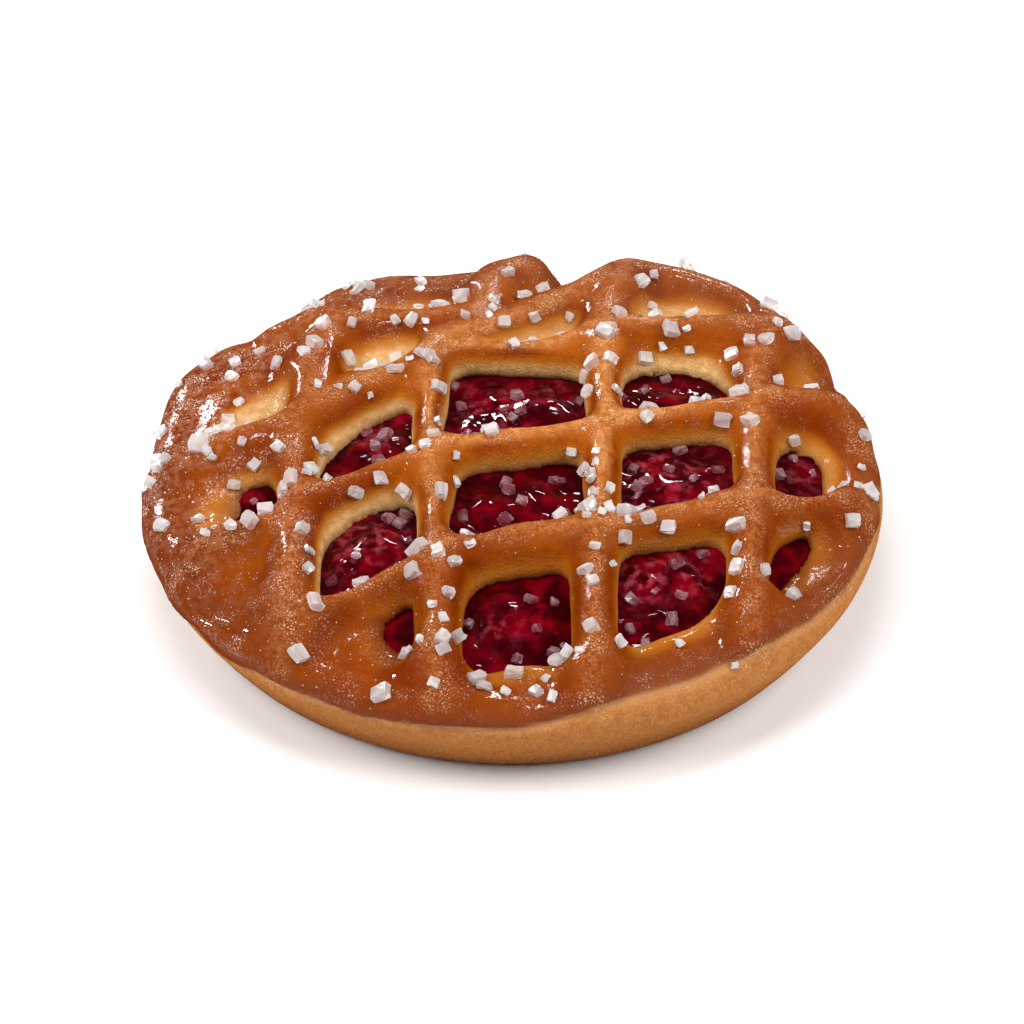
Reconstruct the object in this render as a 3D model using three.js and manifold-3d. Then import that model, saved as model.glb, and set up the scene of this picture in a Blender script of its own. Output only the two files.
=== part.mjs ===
// A lattice-topped cherry tart: a round yeast-dough case, a domed dough lid that was slit and pulled
// open into a lattice, a cherry jelly filling that shows through it, and coarse sugar baked onto both.
// Millimetres, +Z up, origin at the middle of the flat underside. The front, which faces -Y,
// is the side where the lid slopes down furthest.

import * as THREE from 'three';
import { mergeVertices } from 'three/addons/utils/BufferGeometryUtils.js';
import Module from 'manifold-3d';

const wasm = await Module();
wasm.setup();

// ---- Driving dimensions, in millimetres ----
const LID_RADIUS = 54.3; // the lid's widest ring
const LID_EDGE_HEIGHT = 11; // height of that ring
const CROWN_HEIGHT = 24; // top of the lattice over the middle of the tart
const LID_TILT = 0.034; // the lid leans: rise for each mm towards +Y
const REAR_PUFF = 6; // how much fuller the dome is along the rear rim
const REAR_EDGE_RISE = 1.5; // how much higher the widest ring is at the rear
const DOME_POWER = 3.4; // how late the dome turns down: 2 would be a plain ellipsoid
const LID_THICKNESS = 4.95; // from the lattice's top to the filling

const FLOOR_THICKNESS = 4;
const FILLING_RADIUS = 46;
const CLEARANCE = 0.45; // kept between dough and filling
const PINCH_CLEARANCE = 0.3; // the least of it under the lid, where the rim is pinched in

const OPENING_ROUNDING = 4; // how far back from its corner an opening starts to turn
const HOLLOW_ROUNDING = 6;

const SUGAR_EDGES = [1.3, 2.5]; // shortest and longest edge of a sugar crystal
const SUGAR_SUNK = 0.4; // how high a crystal's middle lies above the dough or filling
const SUGAR_SHAKE = 2; // how far a crystal lies off the even pattern
const SUGAR_ON_DOUGH = { count: 130, seed: 7, margin: 1.6 };
const SUGAR_ON_FILLING = { count: 44, seed: 19, margin: 2.5 };

// Facets
const ROUND_SEGMENTS = 56;
const OUTLINE_SEGMENTS = 20;
const CHERRY_SEGMENTS = [12, 8];

// ---- The lid's shape ----
// The rim isn't round: it is pinched in where the dough was folded and bulges between the folds.
// Each entry is [bearing from +X in degrees, half-width in degrees, how far out in mm].
const RIM_LOBES = [
  [8, 15, 1],
  [34, 4, 1.3],
  [46, 22, 3.7],
  [77.5, 4.5, -8],
  [100, 8, -1.4],
  [118, 8, 1.8],
  [136, 6, -4.2],
  [152, 13, 3.4],
  [188, 12, 0.6],
];

function lobeAt(x, y) {
  const bearing = THREE.MathUtils.radToDeg(Math.atan2(y, x));
  let out = 0;
  for (const [centre, halfWidth, reach] of RIM_LOBES) {
    const away = THREE.MathUtils.euclideanModulo(bearing - centre + 180, 360) - 180;
    out += reach * Math.exp(-((away / halfWidth) ** 2));
  }
  return out;
}

// Height of the lid's top over the plan: a flattened dome that ends at the lid's edge.
function lidHeight(x, y) {
  const radius = Math.hypot(x, y);
  const reach = Math.min(radius / (LID_RADIUS + lobeAt(x, y)), 1);
  const rear = radius > 0 ? (Math.max(y, 0) / radius) * reach ** 4 : 0;
  const edge = LID_EDGE_HEIGHT + REAR_EDGE_RISE * rear;
  const crown = CROWN_HEIGHT - LID_EDGE_HEIGHT + LID_TILT * y + REAR_PUFF * rear;
  return edge + crown * Math.sqrt(1 - reach ** DOME_POWER);
}

// ---- Solids and booleans ----
function toSolid(geometry) {
  geometry.deleteAttribute('normal');
  geometry.deleteAttribute('uv');
  const merged = mergeVertices(geometry, 1e-4);
  return new wasm.Manifold(
    new wasm.Mesh({
      numProp: 3,
      vertProperties: Float32Array.from(merged.attributes.position.array),
      triVerts: Uint32Array.from(merged.index.array),
    }),
  );
}

function toGeometry(solid) {
  const { vertProperties, triVerts } = solid.getMesh();
  const geometry = new THREE.BufferGeometry();
  geometry.setAttribute('position', new THREE.BufferAttribute(vertProperties, 3));
  geometry.setIndex(new THREE.BufferAttribute(triVerts, 1));
  geometry.computeVertexNormals();
  return geometry;
}

function moveVertices(geometry, place) {
  const position = geometry.attributes.position;
  const point = new THREE.Vector3();
  for (let i = 0; i < position.count; i++) {
    point.fromBufferAttribute(position, i);
    place(point);
    position.setXYZ(i, point.x, point.y, point.z);
  }
  return geometry;
}

// A solid of revolution about +Z from a section given as [radius, height], from the axis at the
// bottom to the axis at the top.
function turned(section) {
  const points = section.map(([radius, height]) => new THREE.Vector2(radius, height));
  return new THREE.LatheGeometry(points, ROUND_SEGMENTS).rotateX(Math.PI / 2);
}

// A solid through a stack of closed rings with equally many points, counter-clockwise from above,
// the lowest ring first. Both ends are closed with a fan.
function lofted(rings) {
  const count = rings[0].length;
  const middleOf = (ring) => {
    const middle = new THREE.Vector3();
    for (const point of ring) middle.add(point);
    return middle.divideScalar(count);
  };
  const points = [...rings.flat(), middleOf(rings[0]), middleOf(rings.at(-1))];
  const below = count * rings.length;
  const last = below - count;
  const faces = [];
  for (let i = 0; i < count; i++) {
    const next = (i + 1) % count;
    faces.push(below, next, i, below + 1, last + i, last + next);
    for (let start = 0; start < last; start += count) {
      const [a, b, c, d] = [start + i, start + next, start + count + next, start + count + i];
      faces.push(a, b, c, a, c, d);
    }
  }
  return new THREE.BufferGeometry().setFromPoints(points).setIndex(faces);
}

// ---- The body of dough: flat floor, leaning side wall, and the dome on top ----
const WALL = [[46.4, 0], [48.2, 1.1], [50.3, 4], [52.3, 7], [53.7, 9.3]];
const DOME_REACHES = [0.99, 0.96, 0.91, 0.84, 0.73, 0.56, 0.32]; // shares of the radius
const LOBES_START = 30; // radius at which the lobes start to push the surface outwards

function bodySolid() {
  const dome = [...DOME_REACHES, 0].map((reach) => [reach * LID_RADIUS, CROWN_HEIGHT]);
  const geometry = turned([[0, 0], ...WALL, [LID_RADIUS, LID_EDGE_HEIGHT], ...dome]);
  moveVertices(geometry, (point) => {
    const radius = Math.hypot(point.x, point.y);
    const onLid = point.z === CROWN_HEIGHT || point.z === LID_EDGE_HEIGHT;
    const upTheWall = THREE.MathUtils.smoothstep(point.z, WALL[1][1], LID_EDGE_HEIGHT);
    const outwards = THREE.MathUtils.smoothstep(radius, LOBES_START, DOME_REACHES[2] * LID_RADIUS);
    const stretch = 1 + (lobeAt(point.x, point.y) * upTheWall * outwards) / LID_RADIUS;
    point.x *= stretch;
    point.y *= stretch;
    if (onLid) point.z = lidHeight(point.x, point.y);
  });
  return toSolid(geometry);
}

// ---- The space for the filling ----
// Both the space and the filling are this shape, the filling smaller by the clearance all round.
const POT = [[0, FLOOR_THICKNESS], [40, FLOOR_THICKNESS], [44.5, 7.5], [FILLING_RADIUS, 11]];
const POT_RINGS = [FILLING_RADIUS, 37, 25, 0];

function potSolid(shrink) {
  const pot = POT.map(([radius, height]) => [Math.max(radius - shrink, 0), height + shrink]);
  const surface = POT_RINGS.map((radius) => [Math.max(radius - shrink, 0), CROWN_HEIGHT]);
  const geometry = turned([...pot, ...surface]);
  moveVertices(geometry, (point) => {
    if (point.z === CROWN_HEIGHT) {
      point.z = lidHeight(point.x, point.y) - LID_THICKNESS - shrink;
    }
  });
  return toSolid(geometry);
}

// ---- Openings and hollows of the lattice ----
// Corners in plan, counter-clockwise. The openings' outlines lie at the foot of their sides.
const OPENINGS = [
  [[-10, 1.5], [10.5, 5], [11.5, 19.5], [-9.5, 20.5]],
  [[16.3, 6.8], [34.5, 13.2], [32, 19], [24, 21.8], [16.8, 19.5]],
  [[-8.8, -21.5], [10.5, -16], [10.5, -0.8], [-8.5, -4.8]],
  [[15.5, -17], [32.7, -8.5], [32.5, 4.5], [16.3, 1.8]],
  [[-7, -44.5], [8.3, -43], [8.5, -25.5], [-6.5, -29]],
  [[14.8, -40.5], [24, -36], [30.5, -29.5], [30.5, -18.8], [15, -22]],
  [[38.5, -10], [43.5, -9], [45.8, -3], [45, 5], [39.3, 5]],
  [[36.5, -29], [41.5, -22], [44, -13], [40, -15], [36.8, -20]],
  [[-28.7, -9.2], [-14.8, -1.5], [-14.5, 11.5], [-20, 9], [-28, -1]],
  [[-27.5, -34], [-13.8, -24.5], [-13.5, -10.5], [-21, -13], [-27, -19]],
  [[-40, -17], [-34, -12], [-34.5, -4.5], [-38.5, -5]],
  [[-18.8, -36.8], [-13.8, -41.5], [-13.5, -30.5]],
];
// Places where the dough dips without baring the filling, each with its depth in mm.
const HOLLOWS = [
  { depth: 3.6, corners: [[-21.5, 16], [-15.5, 21], [-13.5, 25], [-17, 26.3], [-25, 24.5], [-25.5, 17.5]] },
  { depth: 3.6, corners: [[-37.5, 4.8], [-33.2, 9], [-33.5, 16.5], [-36.5, 16], [-44.5, 11], [-46, 4]] },
  { depth: 3.4, corners: [[4, 23.8], [10.5, 27], [10, 34], [4, 29.5], [-3, 26], [-4.5, 24]] },
  { depth: 3.6, corners: [[27, 30.5], [36, 33], [33, 38.5], [26, 41], [18.5, 37], [17.8, 30]] },
  { depth: 2.8, corners: [[-17, 31.8], [-11, 32.8], [-5.5, 34], [-7, 38.5], [-25, 39], [-26, 33.4]] },
  { depth: 2.4, corners: [[49.5, 18], [48.5, 27], [45, 29], [41, 21], [40, 14]] },
  { depth: 3.2, corners: [[-45, -28], [-35, -38], [-34.5, -20], [-40, -19], [-47, -22]] },
  { depth: 3.1, corners: [[-28, -42], [-13.5, -46], [-13.5, -31], [-24, -34.5]] },
  { depth: 2.4, corners: [[37, -29], [44, -26], [48, -18], [44, -12], [38, -18]] },
  { depth: 2.4, corners: [[39, -10], [47, -8], [49, 0], [46, 6], [39.5, 6]] },
  { depth: 3.5, corners: [[-35.5, -14.5], [-34.5, -9], [-36.8, -4], [-43.5, -5], [-46.8, -9.8], [-44.5, -17]] },
];
// From the bottom up: [share of the outline's size, step outwards from it, depth].
const OPENING_PROFILE = [
  [1, 0, 5.6],
  [1, 0, 3],
  [1, 0.5, 1.6],
  [1, 1.4, 0.6],
  [1, 3.2, -0.2],
  [1, 3.2, -4],
];
const HOLLOW_PROFILE = [
  [0.55, 0, 1],
  [0.82, 0, 0.82],
  [1, 0, 0.25],
  [1.12, 0, -0.15],
  [1.12, 0, -1.2],
];

function roundedOutline(corners, rounding) {
  const points = corners.map(([x, y]) => new THREE.Vector2(x, y));
  const outline = new THREE.Path();
  points.forEach((corner, i) => {
    const before = points.at(i - 1);
    const after = points[(i + 1) % points.length];
    const cutBack = (other) => Math.min(rounding / corner.distanceTo(other), 0.5);
    const start = corner.clone().lerp(before, cutBack(before));
    const end = corner.clone().lerp(after, cutBack(after));
    if (i === 0) outline.moveTo(start.x, start.y);
    else outline.lineTo(start.x, start.y);
    outline.quadraticCurveTo(corner.x, corner.y, end.x, end.y);
  });
  outline.closePath();
  return outline.getSpacedPoints(OUTLINE_SEGMENTS).slice(0, -1);
}

// The dough that is missing at an opening or hollow.
function cutter(corners, rounding, profile, depth) {
  const outline = roundedOutline(corners, rounding);
  const middle = new THREE.Vector2();
  for (const point of outline) middle.addScaledVector(point, 1 / outline.length);
  const normals = outline.map((_, i) => {
    const along = outline[(i + 1) % outline.length].clone().sub(outline.at(i - 1)).normalize();
    return new THREE.Vector2(along.y, -along.x);
  });
  const rings = profile.map(([share, step, deep]) =>
    outline.map((point, i) => {
      const { x, y } = middle.clone().lerp(point, share).addScaledVector(normals[i], step);
      return new THREE.Vector3(x, y, lidHeight(x, y) - deep * depth);
    }),
  );
  return toSolid(lofted(rings));
}

// ---- The filling: set jelly up to the lattice's underside, with cherries bulging in the openings ----
const CHERRY_RADIUS = 7;
const CHERRY_FLATTENING = [1, 0.86, 0.55];
const CHERRY_RISE = 1.9; // how far a cherry bulges above the jelly
// Plan position of each cherry, and its size as a share of CHERRY_RADIUS.
const CHERRIES = [
  [3, 11, 0.95], [1, -12, 1], [24.5, -6, 1], [24.5, 15, 0.75], [-19.5, 2.4, 0.65], [-20.5, -21, 0.85],
  [0.5, -35, 0.95], [22.3, -27.5, 0.85],
];

function fillingSolid() {
  // Where the rim is pinched in, only the second shape keeps clear of the lid.
  let filling = potSolid(CLEARANCE).intersect(potSolid(0).translate([0, 0, -PINCH_CLEARANCE]));
  for (const [x, y, share] of CHERRIES) {
    const cherry = new THREE.SphereGeometry(CHERRY_RADIUS * share, ...CHERRY_SEGMENTS);
    cherry.scale(...CHERRY_FLATTENING);
    const sunk = CHERRY_FLATTENING[2] * CHERRY_RADIUS * share - CHERRY_RISE;
    cherry.translate(x, y, lidHeight(x, y) - LID_THICKNESS - CLEARANCE - sunk);
    filling = filling.add(toSolid(cherry));
  }
  return filling;
}

// ---- Coarse sugar ----
// A small seeded generator, so that the sugar falls the same way every time.
function seeded(seed) {
  let state = seed;
  return () => {
    state = (state + 0x6d2b79f5) | 0;
    let t = Math.imul(state ^ (state >>> 15), 1 | state);
    t = (t + Math.imul(t ^ (t >>> 7), 61 | t)) ^ t;
    return ((t ^ (t >>> 14)) >>> 0) / 4294967296;
  };
}

function crystal(random) {
  const edge = () => THREE.MathUtils.lerp(...SUGAR_EDGES, random());
  const geometry = new THREE.BoxGeometry(edge(), edge(), edge());
  const turn = new THREE.Euler(random() * Math.PI, random() * Math.PI, random() * Math.PI);
  return geometry.applyQuaternion(new THREE.Quaternion().setFromEuler(turn));
}

const DOWN = new THREE.Vector3(0, 0, -1);
const GOLDEN_ANGLE = Math.PI * (3 - Math.sqrt(5));
const SUGAR_REACH = LID_RADIUS - 3;

// Drops crystals on a sunflower pattern that is shaken a little, and fuses each one where it lands
// on the wanted mesh. A crystal stays off where the other mesh is less than "margin" away.
function sprinkle(solid, target, other, { count, seed, margin }) {
  const random = seeded(seed);
  const caster = new THREE.Raycaster();
  const landing = (x, y) => {
    caster.set(new THREE.Vector3(x, y, 2 * CROWN_HEIGHT), DOWN);
    return caster.intersectObjects([target, other])[0];
  };
  let result = solid;
  for (let i = 0; i < count; i++) {
    const radius = SUGAR_REACH * Math.sqrt((i + 0.5) / count);
    const angle = i * GOLDEN_ANGLE;
    const x = radius * Math.cos(angle) + SUGAR_SHAKE * (random() - 0.5);
    const y = radius * Math.sin(angle) + SUGAR_SHAKE * (random() - 0.5);
    const grain = crystal(random);
    const hit = landing(x, y);
    if (!hit || hit.object !== target) continue;
    const around = [[margin, 0], [-margin, 0], [0, margin], [0, -margin]];
    const crowded = around.some(([dx, dy]) => landing(x + dx, y + dy)?.object === other);
    if (crowded) continue;
    grain.translate(x, y, hit.point.z + SUGAR_SUNK);
    result = result.add(toSolid(grain));
  }
  return result;
}

// ---- Putting it together ----
const dough = new THREE.MeshStandardMaterial({ color: 0xb9682a, roughness: 0.35, metalness: 0 });
const jelly = new THREE.MeshStandardMaterial({ color: 0x6e0a20, roughness: 0.12, metalness: 0 });

let doughSolid = bodySolid();
for (const { depth, corners } of HOLLOWS) {
  doughSolid = doughSolid.subtract(cutter(corners, HOLLOW_ROUNDING, HOLLOW_PROFILE, depth));
}
doughSolid = doughSolid.subtract(potSolid(0));
for (const corners of OPENINGS) {
  doughSolid = doughSolid.subtract(cutter(corners, OPENING_ROUNDING, OPENING_PROFILE, 1));
}
const cherrySolid = fillingSolid();

const bareCrust = new THREE.Mesh(toGeometry(doughSolid), dough);
const bareFilling = new THREE.Mesh(toGeometry(cherrySolid), jelly);
const sugaredCrust = sprinkle(doughSolid, bareCrust, bareFilling, SUGAR_ON_DOUGH);
const sugaredFilling = sprinkle(cherrySolid, bareFilling, bareCrust, SUGAR_ON_FILLING);

const crust = new THREE.Mesh(toGeometry(sugaredCrust), dough);
crust.name = 'crust';
const filling = new THREE.Mesh(toGeometry(sugaredFilling), jelly);
filling.name = 'cherry_filling';

const tart = new THREE.Group();
tart.add(crust, filling);

export default tart;
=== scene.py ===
import math

import bpy
import numpy as np
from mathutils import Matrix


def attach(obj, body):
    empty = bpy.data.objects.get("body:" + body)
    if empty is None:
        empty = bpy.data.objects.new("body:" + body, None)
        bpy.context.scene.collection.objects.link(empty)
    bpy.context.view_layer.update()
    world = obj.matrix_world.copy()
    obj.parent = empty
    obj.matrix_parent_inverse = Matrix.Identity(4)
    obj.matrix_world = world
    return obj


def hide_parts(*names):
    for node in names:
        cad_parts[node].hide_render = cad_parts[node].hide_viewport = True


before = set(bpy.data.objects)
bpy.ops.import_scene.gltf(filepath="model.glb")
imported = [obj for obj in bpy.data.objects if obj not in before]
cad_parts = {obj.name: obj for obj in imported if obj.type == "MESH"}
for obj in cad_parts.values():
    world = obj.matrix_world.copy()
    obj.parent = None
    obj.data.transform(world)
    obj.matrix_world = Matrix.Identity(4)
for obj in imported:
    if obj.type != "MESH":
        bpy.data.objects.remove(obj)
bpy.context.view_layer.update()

# ---- The crust ----
# One piece of baked yeast dough: a leaning case and the domed lid that was laid over it, slit and
# pulled open into a lattice. The lid was brushed with egg, so it bakes glossy orange brown, while
# the sides of its strips stay pale and the wall below the seam stays dry and matte.
LID_RADIUS = 54.3  # millimetres, as every length below until a mesh is made
EDGE_HEIGHT = 11.0
CROWN_HEIGHT = 24.0
LID_TILT = 0.034  # rise for each millimetre towards the rear
REAR_PUFF = 6.0
REAR_EDGE_RISE = 1.5
DOME_POWER = 3.4  # how late the dome turns down
JELLY_DEPTH = 5.4  # from the lid's top down to the jelly
JELLY_GAP = 0.05
WELL_DEPTH = 6.6  # how far down the lattice's openings are cut
SHELF = 1.4  # how much less they are cut beside the case's wall, where there is no jelly
STRIP_ROUNDING = 4.8
OPENING_ROUNDING = 4.0
HOLLOW_ROUNDING = 6.0
CREST_REACH = 2.9  # half the width of the ridge along a strip
WEB_DEPTH = 2.6  # how far the lid sags between its strips
DEEPEST_SAG = 4.3
TOP_RIPPLE, EDGE_RIPPLE = 0.12, 0.22
LIP, GROOVE, GROOVE_REACH = 0.35, 0.5, 0.45  # the lid's swollen edge and the groove at its seam
FOOT_ROUNDING = 1.2
FLOOR_THICKNESS = 4.0
POT_RADII = [(40.0, 4.0), (44.5, 7.5), (46.0, 11.0)]  # radius and height of the case's inside
RIM_LOBES = [  # bearing and half width in degrees, and how far out the rim bulges
    (8, 15, 1.0), (34, 4, 1.3), (46, 22, 3.7), (77.5, 4.5, -8.0), (100, 8, -1.4),
    (118, 8, 1.8), (136, 6, -4.2), (152, 13, 3.4), (188, 12, 0.6),
]
# The case's radius at shares of the height of the lid's edge.
WALL_RADII = [(0.0, 46.4), (0.1, 48.2), (0.36, 50.3), (0.64, 52.3), (0.85, 53.7), (1.0, 54.3)]
OPENINGS = [  # how pale the sides are drawn, partly unwashed dough and partly painted shade where far walls lie in shade, and the outline at their foot
    (0.95, [(-10, 1.5), (10.5, 5), (11.5, 19.5), (-9.5, 20.5)]),
    (1.0, [(16.3, 6.8), (34.5, 13.2), (32, 19), (24, 21.8), (16.8, 19.5)]),
    (0.6, [(-8.8, -21.5), (10.5, -16), (10.5, -0.8), (-8.5, -4.8)]),
    (0.6, [(15.5, -17), (32.7, -8.5), (32.5, 4.5), (16.3, 1.8)]),
    (0.4, [(-7, -44.5), (8.3, -43), (8.5, -25.5), (-6.5, -29)]),
    (0.5, [(14.8, -40.5), (24, -36), (30.5, -29.5), (30.5, -18.8), (15, -22)]),
    (0.5, [(38.5, -10), (43.5, -9), (45.8, -3), (45, 5), (39.3, 5)]),
    (0.3, [(36.5, -29), (41.5, -22), (44, -13), (40, -15), (36.8, -20)]),
    (1.0, [(-28.7, -9.2), (-14.8, -1.5), (-14.5, 11.5), (-20, 9), (-28, -1)]),
    (1.0, [(-27.5, -34), (-13.8, -24.5), (-13.5, -10.5), (-21, -13), (-27, -19)]),
    (0.5, [(-40, -17), (-34, -12), (-34.5, -4.5), (-38.5, -5)]),
    (0.2, [(-18.8, -36.8), (-13.8, -41.5), (-13.5, -30.5)]),
]
HOLLOWS = [  # dips where the lid was not cut through: depth, how pale they stayed and outline
    (4.0, 0.9, [(-25.5, 17.5), (-25, 24.5), (-17, 26.3), (-13.5, 25), (-15.5, 21), (-21.5, 16)]),
    (4.0, 0.9, [(-46, 4), (-44.5, 11), (-36.5, 16), (-33.5, 16.5), (-33.2, 9), (-37.5, 4.8)]),
    (3.8, 0.7, [(-4.5, 24), (-3, 26), (4, 29.5), (10, 34), (10.5, 27), (4, 23.8)]),
    (4.0, 0.8, [(17.8, 30), (18.5, 37), (26, 41), (33, 38.5), (36, 33), (27, 30.5)]),
    (3.2, 0.4, [(-26, 33.4), (-25, 39), (-7, 38.5), (-5.5, 34), (-11, 32.8), (-17, 31.8)]),
    (2.8, 0.4, [(40, 14), (41, 21), (45, 29), (48.5, 27), (49.5, 18)]),
    (3.4, 0.0, [(-45, -28), (-35, -38), (-34.5, -20), (-40, -19), (-47, -22)]),
    (3.4, 0.12, [(-28, -42), (-13.5, -46), (-13.5, -31), (-24, -34.5)]),
    (3.0, 0.35, [(37, -29), (44, -26), (48, -18), (44, -12), (38, -18)]),
    (2.8, 0.1, [(39, -10), (47, -8), (49, 0), (46, 6), (39.5, 6)]),
    (4.3, 0.4, [(-44.5, -17), (-46.8, -9.8), (-45, -6), (-42, -4.5), (-36.8, -4), (-34.5, -9),
                (-35.5, -14.5)]),
    (2.0, 0.0, [(-7, -49), (7, -49), (7, -45), (-7, -46)]),
    (2.0, 0.0, [(14, -48), (26, -43), (31, -36), (24, -38), (15, -43)]),
]
# The strips' crests, which also run on over the rim as low ridges.
CRESTS = [
    [(-27, 30), (-30, 21), (-30.5, 11), (-32.5, 0), (-31.3, -22), (-33, -44)],
    [(-11, 23), (-12.5, 9), (-11.3, -18), (-10.5, -51)],
    [(18, 45.5), (15.5, 36), (14.2, 27), (13.6, 3), (12, -20), (11, -51)],
    [(42, 33), (37, 20), (35.4, 0), (34.5, -18), (34, -41)],
    [(-35, 33), (-25.5, 30.8), (-17, 29.4), (-11, 30.5), (-5, 31), (-4, 36), (-2, 42), (2, 45)],
    [(-54, 1), (-45, 1.3), (-39, 3), (-33, 6.5), (-27, 9.5), (-20, 15), (-15, 20.5), (-9, 25.2), (-3, 27),
     (4, 31.5), (10, 37), (18, 45.5), (25, 46.5), (32, 43.5), (37, 40), (40, 35)],
    [(-11, 22.7), (3.5, 22.2), (8.5, 24), (13.5, 27.5), (22.5, 28.2), (36.5, 29.8), (42, 32)],
    [(-50, -24), (-33, -14), (-13, -3), (13, 3), (30, 9), (53, 14)],
    [(-31, -37), (-24, -33), (-11, -25), (12, -20.5), (35, -13), (53, -8)],
]
# Height of the seam between lid and case at each bearing: it climbs at the front right.
SEAM = [
    (0, 12.5), (180, 11.5), (220, 8.5), (228, 11.2), (240, 11.4), (247, 10.8), (258, 11.8), (271, 12.0),
    (277, 13.0), (283, 14.2), (299, 14.2), (312, 14.6), (323, 13.5), (340, 12.8), (360, 12.5),
]


def lid_radius(x, y):
    """How far out the rim lies at a place's bearing."""
    bearing = np.degrees(np.arctan2(y, x))
    radius = np.full(np.shape(x), LID_RADIUS)
    for centre, half_width, reach in RIM_LOBES:
        away = (bearing - centre + 180) % 360 - 180
        radius += reach * np.exp(-((away / half_width) ** 2))
    return radius


def lid_edge_and_crown(x, y, rim):
    """Share of the way out to the rim, height of the lid's edge, and the crown's height above that."""
    radius = np.hypot(x, y)
    reach = np.minimum(radius / rim, 1.1)
    rear = np.maximum(y, 0) / np.maximum(radius, 1e-6) * reach**4
    edge = EDGE_HEIGHT + REAR_EDGE_RISE * rear
    crown = CROWN_HEIGHT - EDGE_HEIGHT + LID_TILT * y + REAR_PUFF * rear
    return reach, edge, crown


def lid_height(x, y):
    """Height of the closed lid, before its strips are shaped."""
    reach, edge, crown = lid_edge_and_crown(x, y, lid_radius(x, y))
    return edge + crown * np.sqrt(1 - np.minimum(reach, 1) ** DOME_POWER)


def rounded(corners, rounding):
    """A closed outline whose corners are turned into short curves."""
    corners = np.array(corners, float)
    outline = []
    for i, corner in enumerate(corners):
        ends = []
        for other in (corners[i - 1], corners[(i + 1) % len(corners)]):
            share = min(rounding / np.linalg.norm(other - corner), 0.5)
            ends.append(corner + share * (other - corner))
        start, end = ends
        for t in (0, 0.2, 0.4, 0.6, 0.8, 1):
            outline.append((1 - t) ** 2 * start + 2 * t * (1 - t) * corner + t * t * end)
    return np.array(outline)


def distance_to_line(points, x, y):
    """Distance in plan to the nearest part of a line."""
    near = np.full(np.shape(x), 1e9)
    for (ax, ay), (bx, by) in zip(points[:-1], points[1:]):
        ex, ey = bx - ax, by - ay
        t = np.clip(((x - ax) * ex + (y - ay) * ey) / max(ex * ex + ey * ey, 1e-9), 0, 1)
        near = np.minimum(near, np.hypot(x - ax - t * ex, y - ay - t * ey))
    return near


def distance_outside(outline, x, y):
    """Distance to a closed outline in plan, negative inside it."""
    closed = np.vstack([outline, outline[:1]])
    inside = np.zeros(np.shape(x), bool)
    for (ax, ay), (bx, by) in zip(closed[:-1], closed[1:]):
        if ay != by:
            inside ^= ((ay > y) != (by > y)) & (x < (bx - ax) * (y - ay) / (by - ay) + ax)
    near = distance_to_line(closed, x, y)
    return np.where(inside, -near, near)


def smooth_line(points, per_span=8):
    """A Catmull-Rom line through the points."""
    p = np.array(points, float)
    p = np.vstack([2 * p[0] - p[1], p, 2 * p[-1] - p[-2]])
    line = []
    for a, b, c, d in zip(p[:-3], p[1:-2], p[2:-1], p[3:]):
        for t in np.arange(per_span) / per_span:
            line.append(0.5 * (2 * b + (c - a) * t + (2 * a - 5 * b + 4 * c - d) * t**2
                               + (3 * b - a - 3 * c + d) * t**3))
    line.append(p[-2])
    return np.array(line)


def step_between(low, high, value):
    """Turns smoothly from 0 at low to 1 at high, which may be the lesser of the two."""
    t = np.clip((value - low) / (high - low), 0, 1)
    return t * t * (3 - 2 * t)


# Plan maps, so that each outline is measured once: a square grid that is read in between its points.
MAP_REACH, MAP_STEP = 60.0, 0.3
map_line = np.arange(-MAP_REACH, MAP_REACH + MAP_STEP / 2, MAP_STEP)
map_x, map_y = np.meshgrid(map_line, map_line, indexing="ij")
ripple = (np.sin(0.31 * map_x + 1.3) * np.sin(0.27 * map_y + 0.4)
          + 0.6 * np.sin(0.55 * map_x + 0.33 * map_y + 2.0)
          + 0.5 * np.sin(-0.42 * map_x + 0.61 * map_y + 4.0))
rim_map = lid_radius(map_x, map_y)
each_opening = np.array([
    distance_outside(rounded(corners, OPENING_ROUNDING), map_x, map_y) for _, corners in OPENINGS])
opening_map = each_opening.min(axis=0) + EDGE_RIPPLE * ripple
opening_pale_and_shade_map = np.array([pale for pale, _ in OPENINGS])[each_opening.argmin(axis=0)]
each_hollow = [distance_outside(rounded(corners, HOLLOW_ROUNDING), map_x, map_y) for _, _, corners in HOLLOWS]
hollow_shares = [step_between(1.9, -2.3, outside) for outside in each_hollow]
hollow_map = np.max([depth * share for (depth, _, _), share in zip(HOLLOWS, hollow_shares)], axis=0)
pale_map = np.max([pale * share for (_, pale, _), share in zip(HOLLOWS, hollow_shares)], axis=0)
crest_map = np.min([distance_to_line(smooth_line(crest), map_x, map_y) for crest in CRESTS], axis=0)
seam_map = np.interp(np.degrees(np.arctan2(map_y, map_x)) % 360, *zip(*SEAM))
top_map = lid_height(map_x, map_y)


def read(plan_map, x, y):
    """A plan map's value at any place, in between its points."""
    u = np.clip((x + MAP_REACH) / MAP_STEP, 0, len(map_line) - 1.001)
    v = np.clip((y + MAP_REACH) / MAP_STEP, 0, len(map_line) - 1.001)
    i, j = u.astype(int), v.astype(int)
    s, t = u - i, v - j
    return ((plan_map[i, j] * (1 - s) + plan_map[i + 1, j] * s) * (1 - t)
            + (plan_map[i, j + 1] * (1 - s) + plan_map[i + 1, j + 1] * s) * t)


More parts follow.
